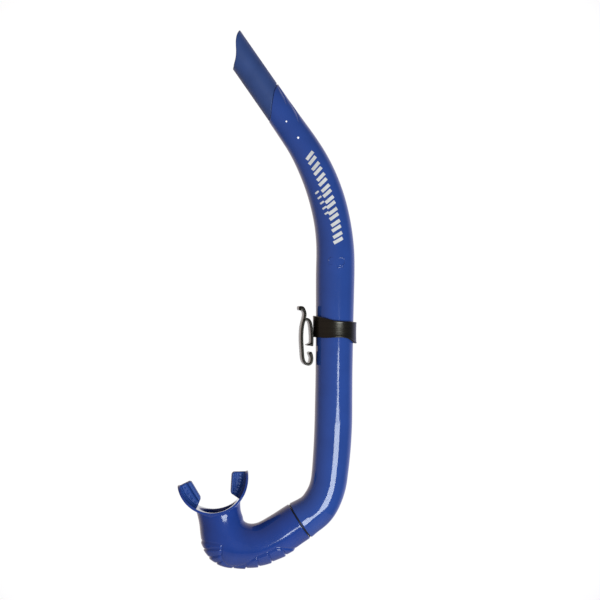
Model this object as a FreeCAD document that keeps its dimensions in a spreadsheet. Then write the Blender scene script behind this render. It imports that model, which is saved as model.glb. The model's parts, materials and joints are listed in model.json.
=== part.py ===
import FreeCAD, Part
import os, math
import Sketcher
from FreeCAD import Vector, Rotation, Placement

# J-shaped snorkel: glossy barrel bent in the XZ plane, satin top tip, soft
# mouthpiece elbow with lip shield and bite tabs, and a strap keeper (band,
# grip liner, swivel stud and strap clip) on the straight part of the barrel.
# Origin: middle of the slot that the mask strap runs through. +Z up along the
# straight part of the barrel, +X from the clip to the barrel, bend plane = XZ.

os.makedirs("parts", exist_ok=True)
doc = FreeCAD.newDocument("snorkel")
sheet = doc.addObject("Spreadsheet::Sheet", "dims")
DIM = [
    ("axis_x", 22.55), ("axis_y", 2.97), ("keeper_angle", 7.5),
    ("barrel_rad", 14.4), ("barrel_bore_rad", 11.2), ("straight_top", 30.0), ("straight_bottom", -62.0),
    ("upper_bend_rad", 166.0), ("upper_bend_start", 54.5), ("upper_lean", 35.5), ("upper_run", 41.6),
    ("top_socket_rad", 9.5), ("top_end_rad", 11.0), ("socket_floor", 10.0),
    ("gentle_rad", 480.0), ("gentle_angle", 6.0), ("lower_bend_rad", 48.1), ("lower_end_angle", 55.9), ("lower_run", 9.0), ("lower_mid_angle", 33.3), ("lower_tight_rad", 25.0),
    ("lower_end_rad", 15.7), ("coupling_pocket_rad", 12.5), ("coupling_pocket_depth", 12.0),
    ("tip_rad", 10.7), ("tip_bore_rad", 8.3), ("tip_neck_rad", 8.05), ("tip_neck_top", 13.0), ("tip_spigot_rad", 9.45), ("tip_top", 61.5), ("tip_spigot_end", -21.5),
    ("coupling_rad", 12.46), ("coupling_bore_rad", 11.0), ("coupling_half", 11.5), ("coupling_rim_rad", 14.9), ("coupling_rim_half", 0.4),
    ("mouth_pocket_depth", 12.2), ("mouth_pocket_rad", 12.52), ("mouth_bore_rad", 10.9),
    ("lip_outer_rad", 28.0), ("lip_inner_rad", 26.2), ("lip_height", 34.0), ("lip_centre_x", -93.6), ("lip_centre_z", -115.0),
    ("tab_thick", 4.0), ("lug_thick", 9.0), ("rib_height", 1.2),
    ("band_rad", 17.15), ("band_bore_rad", 15.7), ("liner_rad", 15.65), ("liner_bore_rad", 14.45),
    ("liner_bottom", -3.4), ("liner_top", 6.8), ("bead_rad", 16.2), ("bead_groove_rad", 16.25), ("bead_low", 1.6), ("bead_high", 3.2),
    ("stud_height", -2.2), ("stud_rad", 1.1), ("stud_bore_rad", 1.15), ("stud_head_rad", 1.75), ("stud_collar_rad", 1.4),
    ("clip_width", 14.0), ("clip_thick", 1.5),
]
V = {}
for i, (k, v) in enumerate(DIM, start=1):
    sheet.set("A%d" % i, k)
    sheet.set("B%d" % i, str(v))
    sheet.setAlias("B%d" % i, k)
    V[k] = v
doc.recompute()
V = {k: float(sheet.get(k)) for k, _ in DIM}
rad = math.radians


def plane(body, role):
    for f in body.Origin.OriginFeatures:
        if getattr(f, "Role", "") == role:
            return f
    raise RuntimeError(role)


def new_body(name):
    b = doc.addObject("PartDesign::Body", name)
    b.Label = name
    return b


def sketch(body, name, role="XY_Plane", off=None):
    s = body.newObject("Sketcher::SketchObject", name)
    s.AttachmentSupport = [(plane(body, role), "")]
    s.MapMode = "FlatFace"
    if off is not None:
        s.AttachmentOffset = off
    return s


def circle(s, r, cx=0.0, cy=0.0, expr=None):
    g = s.addGeometry(Part.Circle(Vector(cx, cy, 0), Vector(0, 0, 1), r), False)
    c = s.addConstraint(Sketcher.Constraint("Radius", g, r))
    if expr:
        s.setExpression("Constraints[%d]" % c, expr)
    return g


def poly(s, pts, closed=True):
    n = len(pts)
    for i in range(n if closed else n - 1):
        a, b = pts[i], pts[(i + 1) % n]
        s.addGeometry(Part.LineSegment(Vector(a[0], a[1], 0), Vector(b[0], b[1], 0)), False)


def spline(s, pts):
    c = Part.BSplineCurve()
    c.interpolate([Vector(p[0], p[1], 0) for p in pts])
    s.addGeometry(c, False)


def pad(body, name, sk, length, sym=False, rev=False, expr=None, off=None):
    p = body.newObject("PartDesign::Pad", name)
    p.Profile = sk
    p.Length = length
    p.Midplane = sym
    p.Reversed = rev
    if expr:
        p.setExpression("Length", expr)
    sk.Visibility = False
    return p


def pocket(body, name, sk, length=400.0, sym=False, rev=False, expr=None):
    p = body.newObject("PartDesign::Pocket", name)
    p.Profile = sk
    p.Length = length
    p.Midplane = sym
    p.Reversed = rev
    if expr:
        p.setExpression("Length", expr)
    return p


def station(x, z, tx, tz):
    # sketch frame across the centreline: sketch x lies in the XZ plane, sketch y along Y
    ang = math.atan2(tx, tz)
    return Placement(Vector(x, 0, z), Rotation(Vector(0, 1, 0), math.degrees(ang)))


def section(body, name, x, z, tx, tz, a, b=None, expr=None):
    s = sketch(body, name, "XY_Plane", station(x, z, tx, tz))
    if b is None or abs(a - b) < 1e-6:
        circle(s, a, expr=expr)
    else:
        if a >= b:
            e = Part.Ellipse(Vector(a, 0, 0), Vector(0, b, 0), Vector(0, 0, 0))
        else:
            e = Part.Ellipse(Vector(0, b, 0), Vector(-a, 0, 0), Vector(0, 0, 0))
        s.addGeometry(e, False)
    return s


def loft(body, name, sections, sub=False, ruled=False):
    f = body.newObject("PartDesign::SubtractiveLoft" if sub else "PartDesign::AdditiveLoft", name)
    f.Profile = sections[0]
    f.Sections = sections[1:]
    f.Ruled = ruled
    return f


def place(obj, turn=None, base=(0.0, 0.0, 0.0), rot=None):
    # every piece stands in the shared frame by the barrel axis cells
    r = rot or Rotation()
    obj.Placement = Placement(Vector(V["axis_x"] + base[0], V["axis_y"] + base[1], base[2]), r)
    obj.setExpression(".Placement.Base.x", "dims.axis_x + %r" % float(base[0]))
    obj.setExpression(".Placement.Base.y", "dims.axis_y + %r" % float(base[1]))
    if turn:
        obj.Placement.Rotation = Rotation(Vector(0, 0, 1), V["keeper_angle"])
        obj.setExpression(".Placement.Rotation.Angle", "dims.keeper_angle")


# ---- centreline of the barrel ------------------------------------------------
def upper(phi, t=0.0):
    p = rad(phi)
    R = V["upper_bend_rad"]
    x = -R * (1 - math.cos(p)) - t * math.sin(p)
    z = V["upper_bend_start"] + R * math.sin(p) + t * math.cos(p)
    return x, z, -math.sin(p), math.cos(p)


def lower(phi, t=0.0):
    g, R1, R2 = rad(V["gentle_angle"]), V["gentle_rad"], V["lower_bend_rad"]
    p = rad(phi)
    z0 = V["straight_bottom"] - 2.0
    m, R3 = rad(V["lower_mid_angle"]), V["lower_tight_rad"]
    if phi <= V["gentle_angle"]:
        x, z = -R1 * (1 - math.cos(p)), z0 - R1 * math.sin(p)
    else:
        q = min(p, m)
        x = -R1 * (1 - math.cos(g)) - R2 * (math.cos(g) - math.cos(q))
        z = z0 - R1 * math.sin(g) - R2 * (math.sin(q) - math.sin(g))
        if p > m:
            x -= R3 * (math.cos(m) - math.cos(p))
            z -= R3 * (math.sin(p) - math.sin(m))
    return x - t * math.sin(p), z - t * math.cos(p), -math.sin(p), -math.cos(p)


LEAN = V["upper_lean"]
# cut line between tip and barrel, and the open end of the tip, in the tip's own frame
CUT = [(12.6, 11.9), (11.0, 10.4), (9.45, 9.1), (6.04, 7.0), (2.7, 3.9), (-1.4, -0.2), (-4.7, -3.9), (-7.9, -7.5), (-10.0, -9.1), (-11.3, -9.9), (-12.6, -10.6)]
END = [(11.0, 61.8), (10.2, 61.3), (7.5, 59.7), (3.84, 56.3), (1.14, 52.7), (-1.6, 48.5), (-4.8, 44.7), (-7.6, 42.4), (-10.4, 40.4), (-11.2, 40.0)]
tx, tz, _, _ = upper(LEAN, V["upper_run"] - 9.1)
TIP = (tx, tz)


def tip_to_barrel(p):
    c, s = math.cos(rad(LEAN)), math.sin(rad(LEAN))
    return TIP[0] + p[0] * c - p[1] * s, TIP[1] + p[0] * s + p[1] * c


# ---- barrel -------------------------------------------------------------------
b = new_body("barrel_tube")
s = sketch(b, "barrel_straight", off=Placement(Vector(0, 0, V["straight_bottom"]), Rotation()))
circle(s, V["barrel_rad"], expr="dims.barrel_rad")
pad(b, "barrel_straight_pad", s, V["straight_top"] - V["straight_bottom"], expr="dims.straight_top - dims.straight_bottom")
up = [(0, V["straight_top"], 0, 1, V["barrel_rad"], 11.2), (0, 42.0, 0, 1, 14.75, 11.3), (0, 54.5, 0, 1, 14.65, 11.3)]
for phi, ro, ri in ((6, 14.27, 11.1), (12, 13.87, 10.8), (18, 13.52, 10.6), (24, 13.05, 10.3), (30, 12.15, 9.9), (LEAN, 11.45, 9.6)):
    x, z, ax, az = upper(phi)
    up.append((x, z, ax, az, ro, ri))
for t, ro, ri in ((10, 11.2, 9.5), (24, 11.02, 9.5), (47, V["top_end_rad"], 9.5)):
    x, z, ax, az = upper(LEAN, t)
    up.append((x, z, ax, az, ro, ri))
secs = [section(b, "barrel_up_%d" % i, *q[:4], q[4]) for i, q in enumerate(up)]
loft(b, "barrel_upper", secs)
low = [(0, V["straight_bottom"], 0, -1, V["barrel_rad"], 11.2)]
for phi, ro, ri in ((1.5, 14.42, 11.2), (3, 14.3, 11.2), (4.5, 14.15, 11.1), (6, 13.95, 11.0), (14, 13.9, 11.0), (24, 13.95, 11.0), (33.3, 14.25, 11.0), (44, 14.5, 11.0), (V["lower_end_angle"], 14.8, 11.0)):
    x, z, ax, az = lower(phi)
    low.append((x, z, ax, az, ro, ri))
x, z, ax, az = lower(V["lower_end_angle"], 5.0)
low.append((x, z, ax, az, 15.25, 11.0))
JX, JZ, JTX, JTZ = lower(V["lower_end_angle"], V["lower_run"])
low.append((JX + 0.3 * -JTX, JZ + 0.3 * -JTZ, JTX, JTZ, V["lower_end_rad"], 11.0))
for nm, part_of in (("barrel_gentle", low[:5]), ("barrel_lower", low[4:])):
    secs = [section(b, "%s_%d" % (nm, i), *q[:4], q[4]) for i, q in enumerate(part_of)]
    loft(b, nm, secs)
# top end follows the slanted S line of the tip
s = sketch(b, "barrel_top_cut", "XZ_Plane")
pts = [tip_to_barrel((p[0], p[1])) for p in CUT]
spline(s, pts)
e0, e1 = pts[0], pts[-1]
poly(s, [e0, (e0[0] + 25, e0[1] + 30), (e1[0] - 20, e1[1] + 90), (e1[0] - 60, e1[1] + 10), e1], closed=False)
pocket(b, "barrel_top", s, 60, sym=True)
# bore
secs = [section(b, "bore_up_%d" % i, *q[:4], q[5]) for i, q in enumerate(up[:-1])]
loft(b, "bore_upper", secs, sub=True, ruled=True)
s = sketch(b, "bore_straight", off=Placement(Vector(0, 0, V["straight_bottom"]), Rotation()))
circle(s, V["barrel_bore_rad"], expr="dims.barrel_bore_rad")
pocket(b, "bore_straight_cut", s, V["straight_top"] - V["straight_bottom"], rev=True, expr="dims.straight_top - dims.straight_bottom")
for nm, part_of in (("bore_gentle", low[:5]), ("bore_lower", low[4:])):
    secs = [section(b, "%s_%d" % (nm, i), *q[:4], q[5]) for i, q in enumerate(part_of)]
    loft(b, nm, secs, sub=True, ruled=True)
x, z, ax, az = upper(LEAN, V["socket_floor"])
s = sketch(b, "top_socket", off=station(x, z, ax, az))
circle(s, V["top_socket_rad"], expr="dims.top_socket_rad")
pocket(b, "top_socket_cut", s, 60, rev=True)
# socket for the coupling at the lower end
s = sketch(b, "coupling_socket", off=station(JX, JZ, -JTX, -JTZ))
circle(s, V["coupling_pocket_rad"], expr="dims.coupling_pocket_rad")
pocket(b, "coupling_socket_cut", s, V["coupling_pocket_depth"], rev=True, expr="dims.coupling_pocket_depth")
place(b)
barrel = b

# ---- top tip --------------------------------------------------------------------
b = new_body("top_tip")
s = sketch(b, "tip_shell", off=Placement(Vector(0, 0, -13), Rotation()))
circle(s, V["tip_rad"], expr="dims.tip_rad")
pad(b, "tip_shell_pad", s, V["tip_top"] + 16)
s = sketch(b, "tip_end_cut", "XZ_Plane")
spline(s, END)
poly(s, [END[0], (11.0, 95.0), (-40.0, 95.0), (-40.0, 40.0), END[-1]], closed=False)
pocket(b, "tip_end", s, 60, sym=True)
s = sketch(b, "tip_joint_cut", "XZ_Plane")
low_cut = [(p[0], p[1] + 0.25) for p in CUT]
spline(s, low_cut)
poly(s, [low_cut[0], (30.0, low_cut[0][1]), (30.0, -40.0), (-30.0, -40.0), (-30.0, low_cut[-1][1]), low_cut[-1]], closed=False)
pocket(b, "tip_joint", s, 60, sym=True)
s = sketch(b, "tip_spigot", off=Placement(Vector(0, 0, V["tip_spigot_end"]), Rotation()))
circle(s, V["tip_spigot_rad"], expr="dims.tip_spigot_rad")
pad(b, "tip_spigot_pad", s, 40)
s = sketch(b, "tip_bore", off=Placement(Vector(0, 0, V["tip_spigot_end"] - 1), Rotation()))
circle(s, V["tip_neck_rad"], expr="dims.tip_neck_rad")
pocket(b, "tip_neck_cut", s, 120, rev=True)
s = sketch(b, "tip_wide_bore", off=Placement(Vector(0, 0, V["tip_neck_top"]), Rotation()))
circle(s, V["tip_bore_rad"], expr="dims.tip_bore_rad")
pocket(b, "tip_bore_cut", s, 80, rev=True)
place(b, base=(TIP[0], 0.0, TIP[1]), rot=Rotation(Vector(0, 1, 0), -LEAN))

# ---- coupling between barrel and mouthpiece -----------------------------------
b = new_body("coupling_sleeve")
for nm, r, ex, h0, h1 in (("coupling_tube", V["coupling_rad"], "dims.coupling_rad", -V["coupling_half"], V["coupling_half"]), ("coupling_rim", V["coupling_rim_rad"], "dims.coupling_rim_rad", -V["coupling_rim_half"], V["coupling_rim_half"])):
    s = sketch(b, nm, off=Placement(Vector(0, 0, h0), Rotation()))
    circle(s, r, expr=ex)
    pad(b, nm + "_pad", s, h1 - h0)
s = sketch(b, "coupling_bore", off=Placement(Vector(0, 0, -20), Rotation()))
circle(s, V["coupling_bore_rad"], expr="dims.coupling_bore_rad")
pocket(b, "coupling_bore_cut", s, 40, rev=True)
JANG = math.degrees(math.atan2(JTX, JTZ))
GAP = 0.6
CX, CZ = JX + JTX * GAP, JZ + JTZ * GAP
place(b, base=(CX, 0.0, CZ), rot=Rotation(Vector(0, 1, 0), JANG))

# ---- mouthpiece -------------------------------------------------------------------
MX, MZ = JX + JTX * 2 * GAP, JZ + JTZ * 2 * GAP
# elbow sections: centre, direction, half width in the bend plane, half width across it
ELBOW = [
    (MX, MZ, JTX, JTZ, 15.7, 15.7),
    (-31.5, -152.25, -0.880, -0.475, 15.95, 15.8),
    (-38.1, -156.9, -0.915, -0.401, 16.4, 16.0),
    (-46.8, -162.0, -0.950, -0.290, 16.6, 16.2),
    (-56.4, -166.4, -0.990, -0.130, 16.8, 16.5),
    (-68.5, -167.5, -0.987, 0.162, 17.7, 17.0),
    (-79.8, -163.5, -0.829, 0.558, 19.3, 17.2),
    (-85.1, -154.9, -0.560, 0.828, 18.6, 16.0),
    (-87.4, -145.5, -0.350, 0.937, 17.2, 14.6),
    (-89.2, -136.0, -0.220, 0.975, 17.9, 14.2),
]
lx, lz = V["lip_centre_x"], V["lip_centre_z"]


def on_lip(r, deg):
    return lx + r * math.cos(rad(deg)), lz + r * math.sin(rad(deg))


A0, A1 = 193.6, 372.0
core = doc.addObject("PartDesign::Body", "mouth_core")
s = sketch(core, "lip_blade", "XZ_Plane")
ro, ri = V["lip_outer_rad"], V["lip_inner_rad"]
s.addGeometry(Part.ArcOfCircle(Part.Circle(Vector(lx, lz, 0), Vector(0, 0, 1), ro), rad(A0), rad(A1)), False)
s.addGeometry(Part.ArcOfCircle(Part.Circle(Vector(lx, lz, 0), Vector(0, 0, 1), ri), rad(A0), rad(A1)), False)
poly(s, [on_lip(ri, A0), on_lip(ro, A0)], closed=False)
poly(s, [on_lip(ri, A1), on_lip(ro, A1)], closed=False)
pad(core, "lip_blade_pad", s, V["lip_height"], sym=True, expr="dims.lip_height")
# oval outline of the lip shield, seen along the mouth axis
s = sketch(core, "lip_oval", "XY_Plane", Placement(Vector(0, 0, -160), Rotation()))
s.addGeometry(Part.Ellipse(Vector(lx + 30.5, 0, 0), Vector(lx, V["lip_height"] / 2, 0), Vector(lx, 0, 0)), False)
poly(s, [(lx - 60, -40), (lx + 60, -40), (lx + 60, 40), (lx - 60, 40)])
pocket(core, "lip_oval_cut", s, 80, rev=True)
secs = [section(core, "elbow_%d" % i, *q) for i, q in enumerate(ELBOW[:6])]
loft(core, "elbow_outlet", secs)
secs = [section(core, "elbow_%d" % (i + 10), *q) for i, q in enumerate(ELBOW[5:])]
loft(core, "elbow_throat", secs)
s = sketch(core, "mouth_trim", "XZ_Plane")
circle(s, ri, lx, lz, expr="dims.lip_inner_rad")
pocket(core, "mouth_trim_cut", s, 60, sym=True)
# bite tabs and their lugs
def tab(name, pts, a0, a1, thick, ex):
    s = sketch(core, name, "XZ_Plane")
    r = ri + 0.7
    s.addGeometry(Part.ArcOfCircle(Part.Circle(Vector(lx, lz, 0), Vector(0, 0, 1), r), rad(a0), rad(a1)), False)
    poly(s, [on_lip(r, a0)] + pts + [on_lip(r, a1)], closed=False)
    pad(core, name + "_pad", s, thick, sym=True, expr=ex)


tab("tab_left", [(-110.7, -117.6), (-102.4, -130.6), (-105.6, -137.6)], 194.6, 243.0, V["tab_thick"], "dims.tab_thick")
tab("tab_right", [(-79.6, -126.6), (-78.6, -110.7)][::1], 320.0, 371.2, V["tab_thick"], "dims.tab_thick")
for nm, pts in (("lug_left", [(-110.7, -117.6), (-102.4, -130.6), (-105.3, -133.4), (-114.4, -119.4)]), ("lug_right", [(-79.6, -126.6), (-78.6, -110.7), (-76.2, -110.7), (-76.9, -128.2)])):
    s = sketch(core, nm, "XZ_Plane")
    poly(s, pts)
    pad(core, nm + "_pad", s, V["lug_thick"], sym=True, expr="dims.lug_thick")

# ribs: a thicker elbow kept only inside nine stripes of the lower outside
blank = doc.addObject("PartDesign::Body", "rib_blank")
h = V["rib_height"]
for nm, part_of in (("rib_loft_outlet", ELBOW[:6]), ("rib_loft_throat", ELBOW[5:-1])):
    secs = [section(blank, "%s_%d" % (nm, i), q[0], q[1], q[2], q[3], q[4] + h, q[5] + h) for i, q in enumerate(part_of)]
    loft(blank, nm, secs)
stripes = doc.addObject("PartDesign::Body", "rib_stripes")
s = sketch(stripes, "rib_stripe_lines", "XZ_Plane")
STRIPES = [
    [(-106.0, -160.6), (-85.5, -162.6), (-86.2, -166.4), (-104.0, -168.0)],
    [(-104.0, -169.6), (-86.2, -168.4), (-85.8, -172.2), (-100.5, -176.4)],
    [(-100.2, -178.0), (-85.6, -173.8), (-84.0, -176.8), (-93.8, -183.4)],
    [(-92.6, -184.0), (-83.0, -178.0), (-78.0, -179.6), (-78.0, -190.0)],
    [(-76.0, -190.0), (-76.0, -179.8), (-70.0, -179.0), (-68.0, -189.5)],
    [(-65.9, -189.4), (-67.4, -177.0), (-60.2, -173.4), (-58.0, -188.6)],
    [(-55.8, -187.6), (-57.8, -172.2), (-49.6, -168.6), (-46.6, -184.9)],
    [(-44.4, -183.6), (-47.2, -167.4), (-40.8, -165.2), (-35.4, -179.6)],
    [(-33.2, -178.4), (-38.4, -165.3), (-26.6, -166.0), (-22.6, -170.0)],
]
for p in STRIPES:
    poly(s, p)
pad(stripes, "rib_stripes_pad", s, 60, sym=True)
ribs = doc.addObject("Part::Common", "ribs")
ribs.Base, ribs.Tool = blank, stripes
solid = doc.addObject("Part::MultiFuse", "mouth_solid")
solid.Shapes = [core, ribs]
# air way and coupling pocket
air = doc.addObject("PartDesign::Body", "airway")
br = V["mouth_bore_rad"]
AIR = [(q[0], q[1], q[2], q[3], a, c) for q, (a, c) in zip(ELBOW, ((br, br), (br, br), (br, br), (br, br), (11.3, 11.0), (12.0, 11.4), (12.9, 11.6), (13.2, 11.6), (13.4, 11.6), (13.8, 11.7)))]
AIR.append((-91.0, -127.0, -0.2, 0.98, 14.2, 11.8))
for nm, part_of in (("airway_outlet", AIR[:6]), ("airway_throat", AIR[5:])):
    secs = [section(air, "%s_%d" % (nm, i), *q) for i, q in enumerate(part_of)]
    loft(air, nm, secs)
s = sketch(air, "mouth_pocket", off=station(MX - 0.5 * JTX, MZ - 0.5 * JTZ, JTX, JTZ))
circle(s, V["mouth_pocket_rad"], expr="dims.mouth_pocket_rad")
pad(air, "mouth_pocket_pad", s, V["mouth_pocket_depth"] + 0.5)
mouth = doc.addObject("Part::Cut", "mouthpiece")
mouth.Base, mouth.Tool = solid, air
mouth.Label = "mouthpiece"
place(mouth)

# ---- strap keeper: band -----------------------------------------------------------
b = new_body("keeper_band")
s = sketch(b, "band_ring", off=Placement(Vector(0, 0, -14), Rotation()))
circle(s, V["band_rad"], expr="dims.band_rad")
circle(s, V["band_bore_rad"], expr="dims.band_bore_rad")
pad(b, "band_ring_pad", s, 32)
s = sketch(b, "band_top_cut", "XZ_Plane")
T = [(-18.5, 12.5), (-17.0, 12.0), (-14.3, 11.3), (-10.0, 10.5), (-4.3, 9.0), (0.5, 8.3), (5.7, 8.05), (10.7, 7.9), (16.6, 7.45), (18.5, 7.3)]
spline(s, T)
poly(s, [T[-1], (18.5, 30.0), (-18.5, 30.0), T[0]], closed=False)
pocket(b, "band_top", s, 60, sym=True)
s = sketch(b, "band_bottom_cut", "XZ_Plane")
B = [(-18.5, -4.6), (-16.0, -4.7), (-11.6, -5.0), (-4.2, -4.7), (3.3, -4.5), (7.8, -5.0), (10.8, -6.2), (13.8, -8.0), (16.8, -9.2), (18.5, -9.5)]
spline(s, B)
poly(s, [B[-1], (18.5, -30.0), (-18.5, -30.0), B[0]], closed=False)
pocket(b, "band_bottom", s, 60, sym=True)
s = sketch(b, "bead_groove", off=Placement(Vector(0, 0, V["bead_low"] - 0.1), Rotation()))
circle(s, V["bead_groove_rad"], expr="dims.bead_groove_rad")
pocket(b, "bead_groove_cut", s, V["bead_high"] - V["bead_low"] + 0.2, rev=True)
# pin hole through the wall on the clip side, with a seat for the head
YZ = Rotation(Vector(0, 1, 0), -90)
s = sketch(b, "stud_hole", off=Placement(Vector(-14, 0, V["stud_height"]), YZ))
circle(s, V["stud_bore_rad"], expr="dims.stud_bore_rad")
pocket(b, "stud_hole_cut", s, 6, rev=True)
s = sketch(b, "stud_seat", off=Placement(Vector(-14, 0, V["stud_height"]), YZ))
circle(s, V["stud_head_rad"] + 0.1)
pocket(b, "stud_seat_cut", s, 2.4, rev=True)
place(b, turn=True)

# ---- grip liner inside the band -----------------------------------------------
b = new_body("keeper_liner")
s = sketch(b, "liner_ring", off=Placement(Vector(0, 0, V["liner_bottom"]), Rotation()))
circle(s, V["liner_rad"], expr="dims.liner_rad")
circle(s, V["liner_bore_rad"], expr="dims.liner_bore_rad")
pad(b, "liner_ring_pad", s, V["liner_top"] - V["liner_bottom"], expr="dims.liner_top - dims.liner_bottom")
s = sketch(b, "liner_bead", off=Placement(Vector(0, 0, V["bead_low"]), Rotation()))
circle(s, V["bead_rad"], expr="dims.bead_rad")
circle(s, V["liner_bore_rad"] + 0.4)
pad(b, "liner_bead_pad", s, V["bead_high"] - V["bead_low"])
place(b, turn=True)

# ---- swivel stud -------------------------------------------------------------------
b = new_body("swivel_stud")
for nm, r, ex, d0, d1 in (("stud_head", V["stud_head_rad"], "dims.stud_head_rad", 15.72, 16.3), ("stud_shank", V["stud_rad"], "dims.stud_rad", 15.8, 18.3), ("stud_collar", V["stud_collar_rad"], "dims.stud_collar_rad", 17.22, 17.75)):
    s = sketch(b, nm, off=Placement(Vector(-d0, 0, V["stud_height"]), YZ))
    circle(s, r, expr=ex)
    pad(b, nm + "_pad", s, d1 - d0)
place(b, turn=True)

# ---- strap clip ---------------------------------------------------------------------
b = new_body("strap_clip")
OUTER = [(-28.1, 18.0), (-26.6, 18.2), (-25.0, 16.8), (-24.1, 13.9), (-24.2, 11.1), (-24.95, 7.9), (-25.75, 4.4), (-26.2, 0.3), (-26.35, -4.6), (-26.1, -10.5), (-25.7, -15.7), (-25.3, -20.2), (-24.3, -23.6), (-22.6, -25.4), (-20.8, -25.7), (-19.2, -24.8), (-18.4, -22.6), (-18.5, -19.8), (-19.4, -17.3)]
INNER = [(-24.9, 7.9), (-24.2, 8.8), (-22.4, 9.3), (-20.8, 8.3), (-19.7, 6.2), (-19.1, 3.2), (-18.75, 0.0), (-18.45, -3.8), (-18.35, -7.6), (-18.5, -9.6)]


def strip(pts, half, n=4):
    c = Part.BSplineCurve()
    c.interpolate([Vector(p[0], p[1], 0) for p in pts])
    k = (len(pts) - 1) * n
    a, z = c.FirstParameter, c.LastParameter
    L, R = [], []
    for i in range(k + 1):
        u = a + (z - a) * i / k
        p, t = c.value(u), c.tangent(u)[0]
        L.append((p.x - t.y * half, p.y + t.x * half))
        R.append((p.x + t.y * half, p.y - t.x * half))
    return L, R


def strip_sketch(s, pts, half):
    L, R = strip(pts, half)
    spline(s, L)
    spline(s, R)
    poly(s, [L[0], R[0]], closed=False)
    poly(s, [L[-1], R[-1]], closed=False)


ht = V["clip_thick"] / 2
s = sketch(b, "outer_leaf", "XZ_Plane")
strip_sketch(s, OUTER, ht)
pad(b, "outer_leaf_pad", s, V["clip_width"], sym=True, expr="dims.clip_width")
s = sketch(b, "inner_leaf", "XZ_Plane")
strip_sketch(s, INNER, ht)
pad(b, "inner_leaf_pad", s, V["clip_width"], sym=True, expr="dims.clip_width")
s = sketch(b, "barb", "XZ_Plane")
poly(s, [(-17.85, -9.0), (-17.85, -11.2), (-22.3, -11.2), (-22.3, -10.3), (-19.2, -8.6)])
pad(b, "barb_pad", s, V["clip_width"], sym=True, expr="dims.clip_width")
s = sketch(b, "stud_fit", off=Placement(Vector(-16.9, 0, V["stud_height"]), YZ))
circle(s, V["stud_rad"], expr="dims.stud_rad")
pocket(b, "stud_fit_cut", s, 1.4, rev=True)
place(b, turn=True)

doc.recompute()
bad = [o.Name for o in doc.Objects if any(k in o.State for k in ("Invalid", "Error"))]
if bad:
    raise RuntimeError("failed objects: %s" % bad)
NODES = ["barrel_tube", "top_tip", "coupling_sleeve", "mouthpiece", "keeper_band", "keeper_liner", "swivel_stud", "strap_clip"]
for n in NODES:
    o = [q for q in doc.Objects if q.Label == n][0]
    sh = o.Shape
    if sh.isNull() or not sh.isValid() or len(sh.Solids) != 1:
        raise RuntimeError("%s: null %s valid %s solids %d" % (n, sh.isNull(), sh.isValid(), len(sh.Solids)))
    bb = sh.BoundBox
    print("%-16s vol %9.1f  x %.1f..%.1f y %.1f..%.1f z %.1f..%.1f faces %d" % (n, sh.Volume, bb.XMin, bb.XMax, bb.YMin, bb.YMax, bb.ZMin, bb.ZMax, len(sh.Faces)))
for n in NODES:
    o = [q for q in doc.Objects if q.Label == n][0]
    o.Shape.exportStep("parts/%s.step" % n)
print("tip centre", TIP, "joint", JX, JZ, JTX, JTZ, "coupling", CX, CZ)
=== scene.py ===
import bpy
import json
import math
import numpy as np
from mathutils import Matrix, Vector


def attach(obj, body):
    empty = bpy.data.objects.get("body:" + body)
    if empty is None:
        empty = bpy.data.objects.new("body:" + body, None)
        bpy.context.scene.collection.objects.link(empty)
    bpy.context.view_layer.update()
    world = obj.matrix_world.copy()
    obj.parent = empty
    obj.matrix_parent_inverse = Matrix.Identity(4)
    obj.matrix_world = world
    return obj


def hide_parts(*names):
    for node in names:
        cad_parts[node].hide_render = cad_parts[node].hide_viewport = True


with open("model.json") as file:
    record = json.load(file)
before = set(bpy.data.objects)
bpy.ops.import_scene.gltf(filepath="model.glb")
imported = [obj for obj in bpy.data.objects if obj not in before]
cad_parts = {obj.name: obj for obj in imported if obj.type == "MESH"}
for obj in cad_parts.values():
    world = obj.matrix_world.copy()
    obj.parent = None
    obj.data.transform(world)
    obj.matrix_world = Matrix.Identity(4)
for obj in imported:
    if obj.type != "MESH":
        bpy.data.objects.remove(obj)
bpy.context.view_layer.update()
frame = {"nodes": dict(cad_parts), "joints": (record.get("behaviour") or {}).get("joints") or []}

# ------------------------------------------------------------------ frame facts
JOINT = {j["name"]: j for j in frame["joints"]}
OX, OY = [v * 1000 for v in JOINT["keeper_turn"]["pos_m"][:2]]  # barrel axis, mm
KEEPER = math.radians(7.5)
rad = math.radians
MM = 0.001


def spl(xs, ys):
    """Natural cubic spline through the points, as a function."""
    xs, ys = np.asarray(xs, float), np.asarray(ys, float)
    n = len(xs)
    h = np.diff(xs)
    A = np.zeros((n, n))
    r = np.zeros(ys.shape)
    A[0, 0] = A[-1, -1] = 1
    for i in range(1, n - 1):
        A[i, i - 1], A[i, i], A[i, i + 1] = h[i - 1], 2 * (h[i - 1] + h[i]), h[i]
        r[i] = 6 * ((ys[i + 1] - ys[i]) / h[i] - (ys[i] - ys[i - 1]) / h[i - 1])
    m = np.linalg.solve(A, r)

    def f(x):
        x = np.asarray(x, float)
        i = np.clip(np.searchsorted(xs, x) - 1, 0, n - 2)
        t = x - xs[i]
        hi = h[i]
        if ys.ndim > 1:
            t, hi = t[..., None], hi[..., None]
        a = (m[i + 1] - m[i]) / (6 * hi)
        b = m[i] / 2
        c = (ys[i + 1] - ys[i]) / hi - hi * (2 * m[i] + m[i + 1]) / 6
        return ((a * t + b) * t + c) * t + ys[i]

    return f


def sstep(a, b, x):
    t = np.clip((np.asarray(x, float) - a) / (b - a), 0, 1)
    return t * t * (3 - 2 * t)


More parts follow.
